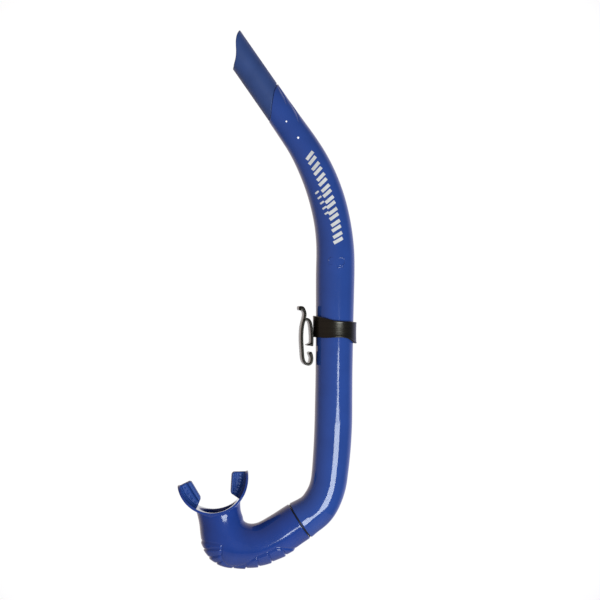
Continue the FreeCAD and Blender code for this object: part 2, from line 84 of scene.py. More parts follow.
# ------------------------------------------------------------------ meshes
def to_frame(P, turned=False):
    """Points in barrel axis millimetres to the row frame in metres."""
    P = np.asarray(P, float).reshape(-1, 3)
    if turned:
        c, s = math.cos(KEEPER), math.sin(KEEPER)
        P = np.c_[P[:, 0] * c - P[:, 1] * s, P[:, 0] * s + P[:, 1] * c, P[:, 2]]
    return (P + [OX, OY, 0]) * MM


def mesh_object(name, verts, faces, smooth=True, sharp=None):
    verts = np.asarray(verts, float)
    tris = np.array([(f[0], f[i], f[i + 1]) for f in faces for i in range(1, len(f) - 1)])
    a, b, c = verts[tris[:, 0]], verts[tris[:, 1]], verts[tris[:, 2]]
    if (np.einsum("ij,ij->i", a, np.cross(b, c))).sum() < 0:
        faces = [tuple(reversed(f)) for f in faces]
    me = bpy.data.meshes.new(name)
    me.from_pydata([tuple(v) for v in verts], [], [tuple(int(i) for i in f) for f in faces])
    me.validate()
    if smooth:
        me.polygons.foreach_set("use_smooth", [True] * len(me.polygons))
    if sharp is not None:
        me.set_sharp_from_angle(angle=math.radians(sharp))
    me.update()
    o = bpy.data.objects.new(name, me)
    bpy.context.scene.collection.objects.link(o)
    return o


def grid_faces(R, C, close_r, close_c, base=0):
    f = []
    for i in range(R if close_r else R - 1):
        for j in range(C if close_c else C - 1):
            a = base + i * C + j
            b = base + i * C + (j + 1) % C
            c = base + ((i + 1) % R) * C + (j + 1) % C
            d = base + ((i + 1) % R) * C + j
            f.append((a, b, c, d))
    return f


def ring_solid(name, rows, turned=False, sharp=None):
    """rows: R x C x 3 in millimetres, closed both ways."""
    R, C, _ = rows.shape
    return mesh_object(name, to_frame(rows.reshape(-1, 3), turned), grid_faces(R, C, True, True), sharp=sharp)


def join_meshes(name, parts, smooth=True, sharp=None):
    V, F, k = [], [], 0
    for v, f in parts:
        v = np.asarray(v, float)
        tr = np.array([(q[0], q[i], q[i + 1]) for q in f for i in range(1, len(q) - 1)])
        a, b, c = v[tr[:, 0]] - v.mean(0), v[tr[:, 1]] - v.mean(0), v[tr[:, 2]] - v.mean(0)
        if np.einsum("ij,ij->i", a, np.cross(b, c)).sum() < 0:
            f = [tuple(reversed(q)) for q in f]
        V.append(v)
        F += [tuple(i + k for i in q) for q in f]
        k += len(v)
    me = bpy.data.meshes.new(name)
    me.from_pydata([tuple(p) for p in np.vstack(V)], [], F)
    if smooth:
        me.polygons.foreach_set("use_smooth", [True] * len(me.polygons))
    if sharp is not None:
        me.set_sharp_from_angle(angle=math.radians(sharp))
    me.update()
    o = bpy.data.objects.new(name, me)
    bpy.context.scene.collection.objects.link(o)
    return o


# ------------------------------------------------------------------ barrel centreline
R_UP, R_GEN, R_LOW, R_TIGHT = 166.0, 480.0, 48.1, 25.0
LEAN, GEN, MID, END = rad(35.5), rad(6.0), rad(33.3), rad(55.9)
Z0, ZU = -64.0, 54.5
S_UP = ZU - Z0
S_LEAN = S_UP + R_UP * LEAN
S_GEN = -R_GEN * GEN
S_MID = S_GEN - R_LOW * (MID - GEN)
S_LOW = S_MID - R_TIGHT * (END - MID)
S_JOINT = S_LOW - 9.0
S_TIP = S_LEAN + 32.5  # where the tip's own frame has its origin


def line(s):
    """Centre and upward tangent of the barrel's axis at arc length s, in the bend plane."""
    s = np.asarray(s, float)
    phi = np.where(s > S_UP, np.minimum((s - S_UP) / R_UP, LEAN), 0.0)
    t = np.maximum(s - S_LEAN, 0)
    xu = -R_UP * (1 - np.cos(phi)) - t * np.sin(LEAN)
    zu = ZU + R_UP * np.sin(phi) + t * np.cos(LEAN)
    g = np.clip(-s / R_GEN, 0, GEN)
    q = np.clip((S_GEN - s) / R_LOW, 0, MID - GEN) + GEN
    p = np.clip((S_MID - s) / R_TIGHT, 0, END - MID) + MID
    t = np.maximum(S_LOW - s, 0)
    xl = -R_GEN * (1 - np.cos(g)) - R_LOW * (math.cos(GEN) - np.cos(q)) - R_TIGHT * (math.cos(MID) - np.cos(p)) - t * math.sin(END)
    zl = Z0 - R_GEN * np.sin(g) - R_LOW * (np.sin(q) - math.sin(GEN)) - R_TIGHT * (np.sin(p) - math.sin(MID)) - t * math.cos(END)
    q = np.where(s < S_MID, p, np.where(s < S_GEN, q, g))
    mid = (s >= 0) & (s <= S_UP)
    x = np.where(s > S_UP, xu, np.where(mid, 0.0, xl))
    z = np.where(s > S_UP, zu, np.where(mid, Z0 + s, zl))
    tx = np.where(s > S_UP, -np.sin(phi), np.where(mid, 0.0, np.sin(q)))
    tz = np.where(s > S_UP, np.cos(phi), np.where(mid, 1.0, np.cos(q)))
    return x, z, tx, tz


def on_barrel(s, th, r):
    """Point at arc length s, angle th round the axis (0 right, -90 deg to the front) and radius r."""
    x, z, tx, tz = line(s)
    c, w = r * np.cos(th), r * np.sin(th)
    return np.stack([x + c * tz, w + 0 * x, z - c * tx], -1)


def s_of_z(z):
    if z > ZU:
        return S_UP + R_UP * math.asin(min((z - ZU) / R_UP, math.sin(LEAN))) + max(0, (z - ZU - R_UP * math.sin(LEAN)) / math.cos(LEAN))
    if z >= Z0:
        return z - Z0
    lo, hi = S_JOINT - 5, 0.0
    for _ in range(50):
        m = (lo + hi) / 2
        if float(line(m)[1]) < z:
            lo = m
        else:
            hi = m
    return lo


RZ = [(-135.6, 14.35), (-126, 13.95), (-116.5, 13.88), (-109, 13.97), (-101, 14.13), (-94.5, 14.26), (-87, 14.36), (-80, 14.41), (-73.7, 14.45), (-67, 14.43), (-59.7, 14.38), (-53, 14.31), (-46, 14.25), (-39, 14.2), (-32.5, 14.19), (-25, 14.22), (-18.6, 14.26), (-11.8, 14.3), (-5, 14.34), (2, 14.38), (8.5, 14.42), (15.6, 14.5), (22, 14.58), (29, 14.67), (36, 14.76), (42.5, 14.83), (49, 14.82), (56.4, 14.7), (63.7, 14.52), (70.9, 14.3), (78.5, 14.1), (85.8, 13.94), (93, 13.82), (100, 13.7), (107, 13.52), (114, 13.32), (120.5, 13.1), (127.4, 12.82), (133.6, 12.48), (140, 12.08), (146.7, 11.7), (153, 11.45), (158, 11.3), (164, 11.15), (169, 11.06), (175, 11.0), (190, 11.0), (200, 11.0)]
WIDER = 0.28
RS = [(S_JOINT, 15.75), (S_JOINT + 2.5, 15.4), (S_JOINT + 5.5, 15.0)] + [(s_of_z(z), r) for z, r in RZ]
RS = [p for i, p in enumerate(RS) if i < 3 or p[0] > S_JOINT + 8]
radius_out = spl([p[0] for p in RS], [p[1] + WIDER * min(1, max(0, (p[0] - S_JOINT) / 20)) for p in RS])


def radius_in(s):
    s = np.asarray(s, float)
    r = np.interp(s, [S_JOINT, S_JOINT + 20, 0, 100, S_UP, S_UP + 50, S_LEAN, S_LEAN + 8], [11, 11, 11.2, 11.2, 11.3, 10.6, 9.7, 9.5])
    return np.where(s < S_JOINT + 12.0, 12.5, r)


# S lines where the tip meets the barrel and where the tip ends, in the tip's frame
CUT = spl([-12.6, -11.3, -10.0, -7.9, -4.7, -1.4, 2.7, 6.04, 9.45, 11.0, 12.6], [-10.6, -9.9, -9.1, -7.5, -3.9, -0.2, 3.9, 7.0, 9.1, 10.4, 11.9])
TOP = spl([-11.2, -10.4, -7.6, -4.8, -1.6, 1.14, 3.84, 7.5, 10.2, 11.0], [40.0, 40.4, 42.4, 44.7, 48.5, 52.7, 56.3, 59.7, 61.3, 61.8])

N_TH = 192
TH = np.linspace(0, 2 * math.pi, N_TH, endpoint=False)


def leaf(s, th, a, b, width, depth, side):
    """A leaf-shaped shallow scoop from a to b, each (s, angle in degrees)."""
    r = 11.3
    p = np.stack([s, (np.angle(np.exp(1j * th))) * r], -1)
    A = np.array([a[0], rad(a[1]) * r])
    B = np.array([b[0], rad(b[1]) * r])
    d = B - A
    L = np.linalg.norm(d)
    u = ((p - A) @ d) / L / L
    v = ((p - A) @ np.array([-d[1], d[0]])) / L
    half = width * np.sin(np.clip(u, 0, 1) * math.pi) ** 0.8 + 1e-6
    k = np.clip((1 + side * v / half) / 2, 0, 1) * sstep(1.0, 0.72, np.abs(v / half))
    return depth * np.where((u > 0) & (u < 1), k, 0)


def barrel_rows():
    rows = []

    def add(s, r):
        rows.append(on_barrel(np.broadcast_to(s, TH.shape), TH, np.broadcast_to(r, TH.shape)))

    r0 = float(radius_out(S_JOINT))
    add(S_JOINT, r0 - 0.75)
    add(S_JOINT + 0.03, r0 - 0.4)
    add(S_JOINT + 0.15, r0 - 0.15)
    add(S_JOINT + 0.4, r0 - 0.02)
    s_fix = np.r_[np.linspace(S_JOINT + 0.9, 0, 70), np.linspace(0, S_UP, 70)[1:], np.linspace(S_UP, S_LEAN - 8, 60)[1:]]
    for s in s_fix:
        add(s, radius_out(s))
    sa = float(s_fix[-1])
    ro = 11.0
    s1 = S_TIP + CUT(ro * np.cos(TH))
    lip = 0.45
    for f in np.linspace(0, 1, 64)[1:]:
        s = sa + (s1 - lip - sa) * f
        r = radius_out(s)
        for a, b, w, d, sd in SCOOPS:
            r = r - leaf(s, TH, a, b, w, d, sd)
        add(s, r)
    for da, dr in ((0.12, 0.12), (0.0, 0.45)):
        add(s1 - da, ro - dr)
    s2 = S_TIP + CUT(9.6 * np.cos(TH))
    add(s2, 9.7)
    add(s2 - 0.2, 9.5)
    sb = S_LEAN + 8.0
    for f in np.linspace(0, 1, 16)[1:]:
        add(s2 - 0.2 + (sb - s2 + 0.2) * f, 9.5)
    for s in np.r_[np.linspace(sb, S_UP, 30)[1:], np.linspace(S_UP, 0, 12)[1:], np.linspace(0, S_JOINT + 12.05, 40)[1:]]:
        add(s, radius_in(s))
    add(S_JOINT + 11.95, 12.5)
    add(S_JOINT + 0.3, 12.5)
    add(S_JOINT, 12.8)
    return np.array(rows)


SCOOPS = []
for (xa, za), (xb, zb), wa, wb in (((-41.5, 183.9), (-38.1, 176.1), -20.0, -50.0), ((-32.0, 172.0), (-28.6, 163.1), -10.0, -50.0)):
    sa = S_TIP + 9.0 if za > 180 else S_TIP - 7.0
    for m in (1, -1):
        SCOOPS.append(((sa, wa * m), (sa - 17.0, wb * m), 2.4, 0.62, -m))

barrel = ring_solid("barrel", barrel_rows())


# ------------------------------------------------------------------ top tip
def tip_point(z, th, r):
    return on_barrel(S_TIP + np.asarray(z, float), th, r)


def tip_rows():
    rows = []

    def add(z, r):
        rows.append(tip_point(np.broadcast_to(z, TH.shape), TH, np.broadcast_to(r, TH.shape)))

    ro, sp, ri = 10.95, 9.45, 8.3
    c = np.cos(TH)
    notch = 0.9 * np.exp(-((np.angle(np.exp(1j * TH)) / rad(16)) ** 2))
    zj = CUT(ro * c) + 0.22 + notch
    zi = CUT(sp * c) + 0.22 + 0.3 * notch
    ze = TOP(ro * c)
    zk = TOP(ri * c)
    add(-21.5, 8.35)
    add(-21.5, sp - 0.3)
    add(-21.2, sp)
    for f in np.linspace(0, 1, 10)[1:]:
        add(-21.2 + (zi + 21.2) * f, sp)
    add(zj, ro - 0.5)
    add(zj + 0.12, ro - 0.14)
    for f in np.linspace(0, 1, 60):
        add(zj + 0.5 + (ze - 0.5 - zj - 0.5) * f, ro)
    add(ze - 0.14, ro - 0.13)
    add(ze, ro - 0.5)
    add(zk, ri + 0.5)
    add(zk - 0.14, ri + 0.13)
    for f in np.linspace(0, 1, 40):
        add(zk - 0.5 + (13.1 - zk + 0.5) * f, ri)
    for f in np.linspace(0, 1, 20):
        add(12.9 + (-21.2 - 12.9) * f, 8.05)
    return np.array(rows)


tip = ring_solid("tip_shell", tip_rows())

# ------------------------------------------------------------------ mouthpiece
lx, lz = -93.6, -115.0
RO, RI = 28.0, 26.2
JX, JZ, _, _ = [float(v) for v in line(S_JOINT)]
JT = (-math.sin(END), -math.cos(END))
MX, MZ = JX + JT[0] * 1.2, JZ + JT[1] * 1.2
# centre, direction, half widths in and across the bend plane, airway half widths
ELBOW = [
    (MX, MZ, JT[0], JT[1], 15.7, 15.7, 10.9, 10.9),
    (-31.5, -152.25, -0.880, -0.475, 15.95, 15.8, 10.9, 10.9),
    (-38.1, -156.9, -0.915, -0.401, 16.3, 16.0, 10.9, 10.9),
    (-46.8, -162.0, -0.950, -0.290, 16.4, 16.2, 10.9, 10.9),
    (-56.4, -166.3, -0.990, -0.130, 16.5, 16.4, 11.3, 11.0),
    (-68.5, -167.5, -0.987, 0.162, 17.4, 16.6, 12.0, 11.4),
    (-79.8, -163.5, -0.829, 0.558, 19.0, 16.8, 12.9, 11.8),
    (-85.1, -154.9, -0.560, 0.828, 18.3, 16.0, 13.3, 12.6),
    (-87.4, -145.5, -0.350, 0.937, 17.0, 15.7, 14.0, 13.9),
    (-89.2, -136.0, -0.220, 0.975, 17.7, 16.1, 14.8, 14.7),
    (-90.6, -128.0, -0.200, 0.980, 18.0, 16.4, 15.0, 15.0),
]
EL = np.array(ELBOW)
_d = np.r_[0, np.cumsum(np.hypot(np.diff(EL[:, 0]), np.diff(EL[:, 1])))]
_el = spl(_d, np.c_[EL[:, 0], EL[:, 1], EL[:, 4:]])
_ang = spl(_d, np.unwrap(np.arctan2(EL[:, 3], EL[:, 2])))
U_END = _d[-1]

N_M = 240
TM = np.linspace(0, 2 * math.pi, N_M, endpoint=False)


def elbow_point(u, th, inner=False, lift=0.0):
    e = _el(u)
    x, z = e[..., 0], e[..., 1]
    a, b = (e[..., 4], e[..., 5]) if inner else (e[..., 2], e[..., 3])
    g = _ang(u)
    tx, tz = np.cos(g), np.sin(g)
    ca, sb = (a + lift) * np.cos(th), (b + lift) * np.sin(th)
    return np.stack([x + ca * tz, sb, z - ca * tx], -1)


def px(points):
    """Outline points in the bend plane, already in millimetres."""
    return np.array(points, float)


# ribbed panel: its upper edge on the face, and the lines between its ribs
PANEL = px([(-112, -161.0), (-103.0, -162.4), (-93.0, -163.6), (-86.3, -164.6), (-84.2, -165.6), (-84.6, -170.5), (-85.0, -174.0), (-83.4, -178.0), (-80.5, -181.0), (-76.6, -182.2), (-69.2, -181.6), (-66.0, -179.3), (-59.6, -174.6), (-54.3, -172.2), (-47.1, -168.9), (-43.3, -166.6), (-39.4, -166.8), (-31.2, -168.3), (-24.4, -169.2), (-10, -170.0), (-10, -205), (-112, -205)])
GAPS = px([
    [(-102.9, -162.3), (-86.0, -164.4)], [(-99.2, -169.4), (-85.4, -168.8)], [(-96.4, -175.9), (-84.8, -173.3)], [(-91.1, -180.9), (-82.6, -177.4)],
    [(-76.5, -186.3), (-76.7, -181.0)], [(-66.5, -185.9), (-67.0, -178.8)], [(-56.4, -185.0), (-58.2, -173.2)], [(-45.8, -181.2), (-50.0, -169.8)],
    [(-35.0, -175.6), (-39.6, -166.5)], [(-24.4, -167.6), (-27.6, -163.5)],
])


def seg_dist(P, A, B):
    d = B - A
    t = np.clip(((P - A) @ d) / (d @ d), 0, 1)
    return np.linalg.norm(P - (A + t[..., None] * d), axis=-1)


# the outer side of the bend is fuller than the sections between its stations
FULLER = spl([-5, _d[3], _d[4], _d[5], _d[6], _d[7], _d[8], _d[9], _d[10]], [0, 0, 0.1, 0.5, 1.7, 1.3, 0.3, 0, 0])


def inside(P, poly):
    x, y = P[..., 0], P[..., 1]
    r = np.zeros(x.shape, bool)
    for i in range(len(poly)):
        (x0, y0), (x1, y1) = poly[i], poly[(i + 1) % len(poly)]
        c = (y0 > y) != (y1 > y)
        with np.errstate(divide="ignore", invalid="ignore"):
            xi = (x1 - x0) * (y - y0) / (y1 - y0 + 1e-12) + x0
        r ^= c & (x < xi)
    return r


def rib_lift(P):
    """How far the surface stands out at points of the bend plane."""
    d = np.full(P.shape[:-1], 1e9)
    for i in range(len(PANEL) - 3):
        d = np.minimum(d, seg_dist(P, PANEL[i], PANEL[i + 1]))
    d = np.where(inside(P, PANEL), d, -d)
    lift = -0.45 * sstep(-0.25, 0.75, d)
    out = np.zeros(d.shape)
    side = []
    for A, B in GAPS:
        n = np.array([-(A - B)[1], (A - B)[0]])
        n = n / np.linalg.norm(n)
        side.append((P - B) @ n)
    for i in range(9):
        d0, d1 = side[i], -side[i + 1]
        ok = (d0 >= 0) & (d1 >= 0)
        w = d0 + d1 + 1e-9
        t = d0 / w
        h = (1.55 - 0.75 * t) if i < 3 else (1.15 if i == 3 else 0.85 + 0.85 * t)
        edge = sstep(0.0, 0.75, d0) * sstep(0.0, 0.75, d1)
        out = np.where(ok, h * edge, out)
    reach = sstep(0.3, 2.6, d)
    return lift + out * reach


def lip_uv(P):
    g = np.arctan2(P[..., 2] - lz, P[..., 0] - lx)
    g = np.where(g > math.pi / 2, g - 2 * math.pi, g)
    return g, P[..., 1]


def lip_point(g, y, r):
    return np.stack([lx + r * np.cos(g), y, lz + r * np.sin(g)], -1)


def cross_u(th, R, inner):
    """For each angle, where the elbow's wall meets the lip shield's cylinder."""
    us = np.linspace(U_END - 26, U_END, 400)
    U, T = np.meshgrid(us, th, indexing="ij")
    P = elbow_point(U, T, inner)
    d = np.hypot(P[..., 0] - lx, P[..., 2] - lz) - R
    out = np.zeros(len(th))
    for j in range(len(th)):
        k = np.where((d[:-1, j] > 0) & (d[1:, j] <= 0))[0]
        i = k[-1] if len(k) else int(np.argmin(np.abs(d[:, j])))
        i = min(i, len(us) - 2)
        out[j] = us[i] + (us[i + 1] - us[i]) * d[i, j] / (d[i, j] - d[i + 1, j] + 1e-12)
    return out


def bez(A, B, C, n):
    return [(1 - t) ** 2 * A + 2 * t * (1 - t) * B + t * t * C for t in np.linspace(0, 1, n)]


A0, A1 = rad(193.6 - 360), rad(372.0 - 360)
PHC, PHH = (A0 + A1) / 2, (A1 - A0) / 2


def rim_uv(th):
    c, s = np.cos(th), np.sin(th)
    k = 2.6
    n = (np.abs(c) ** k + np.abs(s) ** k) ** (-1 / k)
    return PHC + PHH * c * n, 17.0 * s * n


def mouth_rows():
    rows = []
    e0 = 15.7
    # outer skin from the seam up the elbow
    ub = cross_u(TM, RO, False)
    ua = ub - 3.4
    base = np.r_[0.0, np.linspace(0, 1, 230)[1:]]
    start = elbow_point(np.zeros(N_M) + 0.02, TM)
    c0 = np.array([MX, 0, MZ])
    tdir = np.array([JT[0], 0, JT[1]])
    rows.append(c0 + (start - c0) * (12.8 / e0))
    rows.append(c0 + (start - c0) * ((e0 - 0.75) / e0))
    rows.append(c0 + (start - c0) * ((e0 - 0.4) / e0) + tdir * 0.03)
    rows.append(c0 + (start - c0) * ((e0 - 0.15) / e0) + tdir * 0.15)
    for f in base[1:]:
        u = 0.4 + (ua - 0.4) * f
        P = elbow_point(u, TM)
        lift = rib_lift(P[:, [0, 2]]) + FULLER(u) * np.clip(-np.cos(TM), 0, 1) ** 2
        rows.append(elbow_point(u, TM, False, lift))
    A = rows[-1]
    B = elbow_point(ub, TM)
    g, y = lip_uv(B)
    gr, yr = rim_uv(TM)
    L = np.hypot((gr - g) * RO, yr - y)
    f = np.clip(2.6 / L, 0, 0.45)
    C = lip_point(g + (gr - g) * f, y + (yr - y) * f, RO)
    rows += bez(A, B, C, 9)[1:]
    for k in np.linspace(0, 1, 22)[1:]:
        q = f + (0.985 - f) * k
        rows.append(lip_point(g + (gr - g) * q, y + (yr - y) * q, RO))
    # rounded edge of the blade
    mid, half = (RO + RI) / 2, (RO - RI) / 2
    for a in np.linspace(90, -90, 9)[1:-1]:
        k = 0.985 + 0.015 * math.cos(rad(a))
        rows.append(lip_point(g + (gr - g) * k, y + (yr - y) * k, mid + half * math.sin(rad(a))))
    # concave side down to the mouth opening
    uc = cross_u(TM, RI, True)
    Bi = elbow_point(uc, TM, True)
    gi, yi = lip_uv(Bi)
    Li = np.hypot((gr - gi) * RI, yr - yi)
    fi = np.clip(1.3 / Li, 0, 0.3)
    for k in np.linspace(1, 0, 18):
        q = fi + (0.985 - fi) * k
        rows.append(lip_point(gi + (gr - gi) * q, yi + (yr - yi) * q, RI))
    Ci = rows[-1]
    Ai = elbow_point(uc - 1.6, TM, True)
    rows += bez(Ci, Bi, Ai, 6)[1:]
    for f2 in np.linspace(0, 1, 60)[1:]:
        u = (uc - 1.6) + (12.25 - (uc - 1.6)) * f2
        rows.append(elbow_point(u, TM, True))
    r12 = elbow_point(np.zeros(N_M) + 12.15, TM, True)
    c12 = np.array([*_el(12.15)[:1], 0.0, _el(12.15)[1]])
    rows.append(c12 + (r12 - c12) * (12.52 / 10.9))
    rows.append(c0 + (start - c0) * (12.52 / e0) + tdir * 0.3)
    return np.array(rows)


mouth = ring_solid("mouth_elbow", mouth_rows())


def tab_object(name, arc, inner0, inner1, lug, flip):
    """A bite tab between the lip shield's arc and a straight inner edge, with a raised lug and tooth pattern."""
    n, m = 96, 110
    p = np.linspace(0, 1, n)
    q = np.linspace(0, 1, m)
    Pq, Q0 = np.meshgrid(p, q, indexing="ij")
    W0 = 13.0
    rc = 2.1
    t = np.clip((Pq * W0 - (W0 - rc)) / rc, 0, 1)
    pull = 0.16 * (1 - np.sqrt(1 - t * t))
    Qq = pull + (1 - 2 * pull) * Q0
    g = rad(arc[0]) + (rad(arc[1]) - rad(arc[0])) * Qq
    ox, oz = lx + 27.0 * np.cos(g), lz + 27.0 * np.sin(g)
    ix = inner0[0] + (inner1[0] - inner0[0]) * Qq
    iz = inner0[1] + (inner1[1] - inner0[1]) * Qq
    # corners rounded by pulling the ends in
    bow = 0.9 * np.sin(math.pi * Qq)
    X, Z = ox + (ix - ox) * Pq, oz + (iz - oz) * Pq
    W = np.hypot(ix - ox, iz - oz)
    H = np.hypot(inner1[0] - inner0[0], inner1[1] - inner0[1]) * 1.1
    d = np.minimum.reduce([(1 - Pq) * W, Q0 * H, (1 - Q0) * H])
    rho = 1.5
    e = np.sqrt(np.clip(1 - (1 - np.clip(d / rho, 0, 1)) ** 2, 0, 1))
    h = 2.0 + 0 * Pq
    dist = (1 - Pq) * W  # from the inner edge
    h = h + 2.3 * (1 - sstep(lug * 0.75, lug * 1.15, dist))
    h = h - 0.55 * np.exp(-((dist - lug * 1.35) / 0.45) ** 2)
    fromblade = Pq * W
    h = h - 1.0 * np.exp(-((fromblade - (1.5 if not flip else 2.6)) / (0.5 if not flip else 1.5)) ** 2)
    # tooth pattern: staggered rounded cells in the flat field
    field = sstep(lug * 1.6, lug * 1.9, dist) * sstep(2.8, 3.6, fromblade) * sstep(1.6, 2.6, Qq * H) * sstep(1.6, 2.6, (1 - Qq) * H)
    a = Qq * H / 4.3
    cell = np.sin(math.pi * a) ** 2 * np.clip(1 - ((fromblade - 5.2) / 2.6) ** 2, 0, 1)
    h = h - 0.55 * field * (sstep(0.25, 0.5, cell) - 0.8 * sstep(0.55, 0.8, cell))
    h = h * e
    top = np.stack([X, -h, Z], -1)
    bot = np.stack([X, h, Z], -1)
    V = np.vstack([top.reshape(-1, 3), bot.reshape(-1, 3)])
    F = grid_faces(n, m, False, False)
    k = n * m
    F += [tuple(i + k for i in reversed(f)) for f in grid_faces(n, m, False, False)]
    # wall at the blade side, where the tab is sunk in the shield
    for j in range(m - 1):
        F.append((j + 1, j, k + j, k + j + 1))
    # weld the other three sides, where both skins meet
    me_v = to_frame(V)
    remap = np.arange(2 * k)
    for i in range(n):
        for j in range(m):
            if i == n - 1 or j == 0 or j == m - 1:
                remap[k + i * m + j] = i * m + j
    F2 = []
    for f in F:
        g2 = []
        for i in f:
            r = int(remap[i])
            if r not in g2:
                g2.append(r)
        if len(g2) >= 3:
            F2.append(tuple(g2))
    used = sorted(set(i for f in F2 for i in f))
    idx = {v: i for i, v in enumerate(used)}
    return mesh_object(name, me_v[used], [tuple(idx[i] for i in f) for f in F2])


tab_l = tab_object("bite_tab_left", (194.8, 243.5), (-110.6, -117.2), (-102.3, -130.8), 3.6, False)
tab_r = tab_object("bite_tab_right", (370.9, 321.5), (-78.9, -110.2), (-79.7, -126.9), 2.4, True)

# ------------------------------------------------------------------ keeper band
BT = spl([-18.5, -17.0, -14.3, -10.0, -4.3, 0.5, 5.7, 10.7, 16.6, 18.5], [12.5, 12.0, 11.3, 10.5, 9.0, 8.3, 8.05, 7.9, 7.45, 7.3])
BB = spl([-18.5, -16.0, -11.6, -4.2, 3.3, 7.8, 10.8, 13.8, 16.8, 18.5], [-4.6, -4.7, -5.0, -4.7, -4.5, -5.0, -6.2, -8.0, -9.2, -9.5])


def band_rows():
    th = np.linspace(0, 2 * math.pi, 192, endpoint=False)
    c = np.cos(th)
    rows = []
    ro, ri = 17.15, 15.7
    xt = ro * c
    zt, zb = BT(xt), BB(xt)

    def add(z, r):
        z, r = np.broadcast_to(z, th.shape), np.broadcast_to(r, th.shape)
        rows.append(np.stack([r * c, r * np.sin(th), z], -1))

    add(zb + 0.25, ri)
    add(zb + 0.05, ri + 0.2)
    add(zb, ri + 0.6)
    add(zb + 0.05, ro - 0.1)
    flare = 0.25 * np.clip(c, 0, 1) ** 6
    for f in np.linspace(0, 1, 46):
        z = zb + 0.3 + (zt - 0.6 - zb) * f
        bead = 0.22 * np.exp(-(((z - zb - 0.75) / 0.45) ** 2)) + 0.12 * np.exp(-(((zt - z - 0.7) / 0.4) ** 2))
        hollow = 0.10 * np.sin(math.pi * f)
        add(z, ro - 0.12 + bead - hollow + flare * np.exp(-(z - zb) / 2.5))
    add(zt - 0.05, ro - 0.35)
    add(zt, ri + 0.5)
    add(zt - 0.05, ri + 0.15)
    for f in np.linspace(0, 1, 10):
        add(zt - 0.3 + (zb + 0.6 - zt + 0.3) * f, ri)
    return np.array(rows)


band = ring_solid("keeper_ring", band_rows(), turned=True)

# ------------------------------------------------------------------ strap clip
OUTER = [(-27.3, 17.7), (-26.3, 17.6), (-25.0, 16.3), (-24.1, 13.9), (-24.2, 11.1), (-24.95, 7.9), (-25.75, 4.4), (-26.2, 0.3), (-26.35, -4.6), (-26.1, -10.5), (-25.7, -15.7), (-25.3, -20.2), (-24.3, -23.6), (-22.6, -25.4), (-20.8, -25.7), (-19.2, -24.8), (-18.4, -22.6), (-18.5, -19.8), (-19.4, -17.3)]
INNER = [(-25.0, 7.6), (-24.2, 8.8), (-22.4, 9.3), (-20.8, 8.3), (-19.7, 6.2), (-19.1, 3.2), (-18.75, 0.0), (-18.45, -3.8), (-18.35, -7.6), (-18.45, -10.6)]
BARB = [(-17.75, -8.6), (-17.7, -10.6), (-18.2, -11.2), (-19.6, -11.25), (-21.9, -11.2), (-22.4, -10.8), (-22.1, -10.35), (-20.6, -9.7), (-19.3, -8.7)]


def ribbon(pts, width, thick, n=90, corner=0.3, bulb=(0.0, 0.0)):
    pts = np.array(pts, float)
    d = np.r_[0, np.cumsum(np.hypot(*np.diff(pts, axis=0).T))]
    f = spl(d, pts)
    s = np.linspace(0, d[-1], n)
    P = f(s)
    T = np.gradient(P, axis=0)
    T /= np.linalg.norm(T, axis=1)[:, None]
    Nn = np.c_[-T[:, 1], T[:, 0]]
    # rounded rectangle section, offsets (across thickness, along Y)
    sec = []
    a, b, r = thick / 2, width / 2, corner
    for cx, cy, t0 in ((a - r, b - r, 0), (-(a - r), b - r, 90), (-(a - r), -(b - r), 180), (a - r, -(b - r), 270)):
        for t in np.linspace(t0, t0 + 90, 5):
            sec.append((cx + r * math.cos(rad(t)), cy + r * math.sin(rad(t))))
    sec = np.array(sec)
    rows, caps = [], []
    e = thick / 2
    prof = [(0.0, 0.25), (0.06, 0.6), (0.25, 0.87), (0.6, 0.98), (1.0, 1.0)]

    def ring(c, nrm, k, shift, tv, grow=1.0):
        kx = k * grow
        ky = (b - a * (1 - k)) / b
        q = c[None, :] + sec[:, :1] * kx * nrm[None, :] + shift * tv[None, :]
        return np.c_[q[:, 0], sec[:, 1] * ky, q[:, 1]]

    g0, g1 = 1 + bulb[0], 1 + bulb[1]
    for t, k in prof[:-1]:
        rows.append(ring(P[0], Nn[0], k, -e * g0 * (1 - t), T[0], g0))
    for i in range(n):
        grow = 1 + bulb[0] * math.exp(-((s[i] / 2.4) ** 2)) + bulb[1] * math.exp(-(((d[-1] - s[i]) / 2.4) ** 2))
        rows.append(ring(P[i], Nn[i], 1.0, 0.0, T[i], grow))
    for t, k in reversed(prof[:-1]):
        rows.append(ring(P[-1], Nn[-1], k, e * g1 * (1 - t), T[-1], g1))
    rows = np.array(rows)
    R, C, _ = rows.shape
    V = rows.reshape(-1, 3)
    F = grid_faces(R, C, False, True)
    F.append(tuple(range(C - 1, -1, -1)))
    F.append(tuple((R - 1) * C + i for i in range(C)))
    return V, F


def plate(outline, width, r=0.3):
    o = np.array(outline, float)
    c = o.mean(0)
    d = o - c
    k = 1 - r / np.maximum(np.linalg.norm(d, axis=1), 1e-6)
    small = c + d * k[:, None]
    w = width / 2
    rings = [(small, -w), (c + d * (1 - (1 - k)[:, None] * 0.3), -w + r * 0.3), (o, -w + r), (o, w - r), (c + d * (1 - (1 - k)[:, None] * 0.3), w - r * 0.3), (small, w)]
    V = np.vstack([np.c_[q[:, 0], np.full(len(q), y), q[:, 1]] for q, y in rings])
    n = len(o)
    F = grid_faces(len(rings), n, False, True)
    F.append(tuple(range(n - 1, -1, -1)))
    F.append(tuple((len(rings) - 1) * n + i for i in range(n)))
    return V, F


CW, CT = 14.0, 2.0
parts = []
for v, f in (ribbon(OUTER, CW, CT, 150, bulb=(0.75, 0.3)), ribbon(INNER, CW, CT, 80), plate(BARB, CW)):
    parts.append((to_frame(v, True), f))
clip = join_meshes("clip_leaves", parts, sharp=40)

